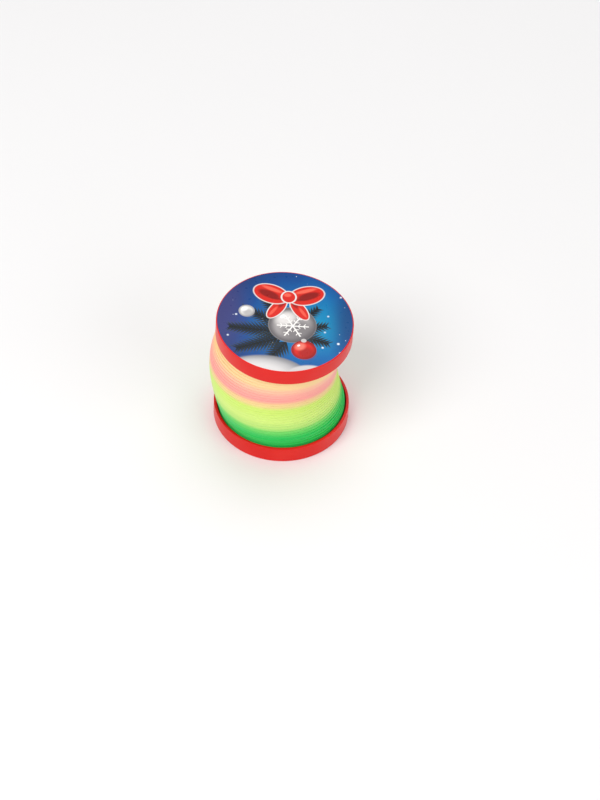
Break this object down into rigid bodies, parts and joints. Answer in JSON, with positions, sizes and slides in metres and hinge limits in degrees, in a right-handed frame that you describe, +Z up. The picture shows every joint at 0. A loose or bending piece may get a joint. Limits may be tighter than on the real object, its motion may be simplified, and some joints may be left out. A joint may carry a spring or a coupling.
{
  "type": "spring coil toy",
  "caption": "Close-wound rainbow plastic spring with a round moulded cap on each end, which stretches out and bends over into an arch.",
  "frame": {"origin": "centre of the bottom cap's underside, on the surface that the toy stands on", "axes": "+Z up along the closed spring, -X is the side that the closed spring bows out to, +Y to the back, and arching takes the top cap over to +X"},
  "size_m": [0.0573, 0.055, 0.0539],
  "materials": {
    "cap_plastic": "glossy injection-moulded red plastic",
    "label_print": "smooth printed film with a clear gloss coat, night-blue winter picture",
    "coil_green": "satin translucent plastic, green shading to lime above",
    "coil_lime": "satin translucent plastic, lime yellow",
    "coil_orange": "satin translucent plastic, light orange between lime and pink",
    "coil_pink": "satin translucent plastic, salmon pink",
    "coil_cream": "satin translucent plastic, peach and cream"
  },
  "bodies": {
    "base": {"bottom_cap": "cap_plastic", "bottom_label": "label_print", "coil_end_bottom": "coil_green"},
    "section_01": {"coil_section_01": "coil_green"},
    "section_02": {"coil_section_02": "coil_green"},
    "section_03": {"coil_section_03": "coil_lime"},
    "section_04": {"coil_section_04": "coil_lime"},
    "section_05": {"coil_section_05": "coil_lime"},
    "section_06": {"coil_section_06": "coil_lime"},
    "section_07": {"coil_section_07": "coil_lime"},
    "section_08": {"coil_section_08": "coil_lime"},
    "section_09": {"coil_section_09": "coil_lime"},
    "section_10": {"coil_section_10": "coil_lime"},
    "section_11": {"coil_section_11": "coil_orange"},
    "section_12": {"coil_section_12": "coil_orange"},
    "section_13": {"coil_section_13": "coil_pink"},
    "section_14": {"coil_section_14": "coil_pink"},
    "section_15": {"coil_section_15": "coil_pink"},
    "section_16": {"coil_section_16": "coil_cream"},
    "section_17": {"coil_section_17": "coil_cream"},
    "top": {"coil_end_top": "coil_cream", "top_cap": "cap_plastic", "top_label": "label_print"}
  },
  "joints": [
    {"name": "stretch", "type": "slide", "parent": "base", "child": "section_01", "axis": [0.0008, 0, 1], "range_m": [0, 0.0324], "stiffness_N_per_m": 4},
    {"name": "arch", "type": "hinge", "parent": "section_01", "child": "section_02", "pos_m": [0.02904, 0, 0.01115], "axis": [0, 1, 0], "range_deg": [0, 22.34], "stiffness_Nm_per_rad": 0.0021},
    {"name": "stretch_02", "type": "slide", "parent": "section_02", "child": "section_03", "axis": [0.0034, 0, 1], "range_m": [0, 0.0324], "stiffness_N_per_m": 4},
    {"name": "arch_02", "type": "hinge", "parent": "section_03", "child": "section_04", "pos_m": [0.028, 0, 0.01528], "axis": [0, 1, 0], "range_deg": [0, 22.34], "stiffness_Nm_per_rad": 0.0021},
    {"name": "stretch_03", "type": "slide", "parent": "section_04", "child": "section_05", "axis": [0.0059, 0, 1], "range_m": [0, 0.0324], "stiffness_N_per_m": 4},
    {"name": "arch_03", "type": "hinge", "parent": "section_05", "child": "section_06", "pos_m": [0.02712, 0, 0.01942], "axis": [0, 1, 0], "range_deg": [0, 22.34], "stiffness_Nm_per_rad": 0.0021},
    {"name": "stretch_04", "type": "slide", "parent": "section_06", "child": "section_07", "axis": [0.0084, 0, 1], "range_m": [0, 0.0324], "stiffness_N_per_m": 4},
    {"name": "arch_04", "type": "hinge", "parent": "section_07", "child": "section_08", "pos_m": [0.0265, 0, 0.02355], "axis": [0, 1, 0], "range_deg": [0, 22.34], "stiffness_Nm_per_rad": 0.0021},
    {"name": "stretch_05", "type": "slide", "parent": "section_08", "child": "section_09", "axis": [0.0109, 0, 0.9999], "range_m": [0, 0.0324], "stiffness_N_per_m": 4},
    {"name": "stretch_06", "type": "slide", "parent": "section_09", "child": "section_10", "axis": [0.0122, 0, 0.9999], "range_m": [0, 0.0324], "stiffness_N_per_m": 4},
    {"name": "arch_05", "type": "hinge", "parent": "section_10", "child": "section_11", "pos_m": [0.02621, 0, 0.02976], "axis": [0, 1, 0], "range_deg": [0, 22.34], "stiffness_Nm_per_rad": 0.0021},
    {"name": "stretch_07", "type": "slide", "parent": "section_11", "child": "section_12", "axis": [0.0147, 0, 0.9999], "range_m": [0, 0.0324], "stiffness_N_per_m": 4},
    {"name": "arch_06", "type": "hinge", "parent": "section_12", "child": "section_13", "pos_m": [0.02656, 0, 0.03389], "axis": [0, 1, 0], "range_deg": [0, 22.34], "stiffness_Nm_per_rad": 0.0021},
    {"name": "stretch_08", "type": "slide", "parent": "section_13", "child": "section_14", "axis": [0.0172, 0, 0.9999], "range_m": [0, 0.0324], "stiffness_N_per_m": 4},
    {"name": "arch_07", "type": "hinge", "parent": "section_14", "child": "section_15", "pos_m": [0.02736, 0, 0.03802], "axis": [0, 1, 0], "range_deg": [0, 22.34], "stiffness_Nm_per_rad": 0.0021},
    {"name": "stretch_09", "type": "slide", "parent": "section_15", "child": "section_16", "axis": [0.0197, 0, 0.9998], "range_m": [0, 0.0324], "stiffness_N_per_m": 4},
    {"name": "arch_08", "type": "hinge", "parent": "section_16", "child": "section_17", "pos_m": [0.02865, 0, 0.04216], "axis": [0, 1, 0], "range_deg": [0, 22.34], "stiffness_Nm_per_rad": 0.0021},
    {"name": "stretch_10", "type": "slide", "parent": "section_17", "child": "top", "axis": [0.0223, 0, 0.9998], "range_m": [0, 0.0324], "stiffness_N_per_m": 4}
  ],
  "couplings": [
    {"joint": "stretch_02", "follows": "stretch", "ratio": 1},
    {"joint": "arch_02", "follows": "arch", "ratio": 1},
    {"joint": "stretch_03", "follows": "stretch", "ratio": 1},
    {"joint": "arch_03", "follows": "arch", "ratio": 1},
    {"joint": "stretch_04", "follows": "stretch", "ratio": 1},
    {"joint": "arch_04", "follows": "arch", "ratio": 1},
    {"joint": "stretch_05", "follows": "stretch", "ratio": 1},
    {"joint": "stretch_06", "follows": "stretch", "ratio": 1},
    {"joint": "arch_05", "follows": "arch", "ratio": 1},
    {"joint": "stretch_07", "follows": "stretch", "ratio": 1},
    {"joint": "arch_06", "follows": "arch", "ratio": 1},
    {"joint": "stretch_08", "follows": "stretch", "ratio": 1},
    {"joint": "arch_07", "follows": "arch", "ratio": 1},
    {"joint": "stretch_09", "follows": "stretch", "ratio": 1},
    {"joint": "arch_08", "follows": "arch", "ratio": 1},
    {"joint": "stretch_10", "follows": "stretch", "ratio": 1}
  ]
}
